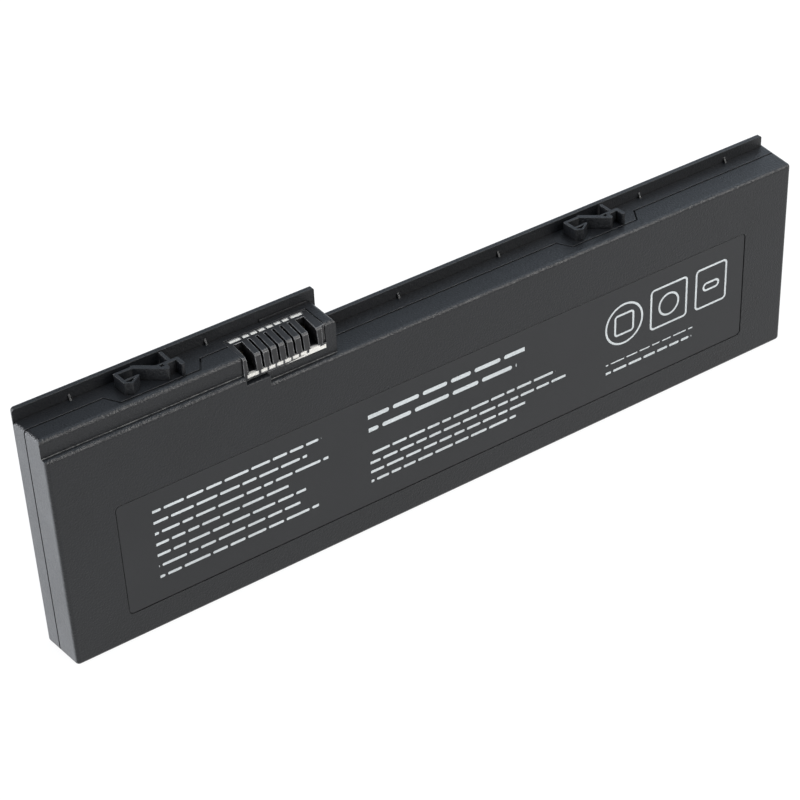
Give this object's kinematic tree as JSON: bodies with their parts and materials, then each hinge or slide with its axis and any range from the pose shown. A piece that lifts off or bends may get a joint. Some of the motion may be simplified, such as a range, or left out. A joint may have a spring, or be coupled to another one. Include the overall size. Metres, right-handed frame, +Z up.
{
  "type": "laptop battery",
  "caption": "Slim laptop battery: two dark plastic covers around a row of flat cells, with a slotted connector in a raised bay and moulded latch hooks along the top edge.",
  "frame": {"origin": "under the middle of the pack, on the plain long edge that it stands on", "axes": "+X along the pack, away from the raised bay; +Y through its thickness, from the label face to the outer face; +Z up from the plain long edge to the edge with the hooks"},
  "size_m": [0.207, 0.012, 0.0635],
  "materials": {
    "case": "fine-textured dark grey moulding",
    "label": "satin printed film",
    "cell_can": "drawn can, satin",
    "nickel_strip": "nickel-plated strip",
    "insulating_paper": "matt fish paper",
    "tape": "white adhesive tape",
    "foam": "black foam",
    "circuit_board": "green solder mask",
    "chip": "moulded black package",
    "epoxy_bead": "dark epoxy",
    "connector": "dark moulding",
    "carrier": "pale ivory moulding",
    "contact": "gold-plated"
  },
  "bodies": {
    "root": {"front_cover": "case", "back_cover": "case", "label": "label", "cell_1": "cell_can", "cell_2": "cell_can", "cell_3": "cell_can", "cell_4": "cell_can", "cell_5": "cell_can", "cell_6": "cell_can", "link_negative": "nickel_strip", "link_lower": "nickel_strip", "link_upper": "nickel_strip", "link_positive": "nickel_strip", "cap_insulator": "insulating_paper", "mounting_tape": "tape", "board_pad": "foam", "protection_board": "circuit_board", "charge_switch": "chip", "discharge_switch": "chip", "gauge_chip": "chip", "sense_resistor": "chip", "pack_fuse": "chip", "thermistor": "epoxy_bead", "connector_housing": "connector", "contact_carrier": "carrier", "contact_1": "contact", "contact_2": "contact", "contact_3": "contact", "contact_4": "contact", "contact_5": "contact", "contact_6": "contact", "contact_7": "contact", "contact_8": "contact"}
  },
  "joints": []
}
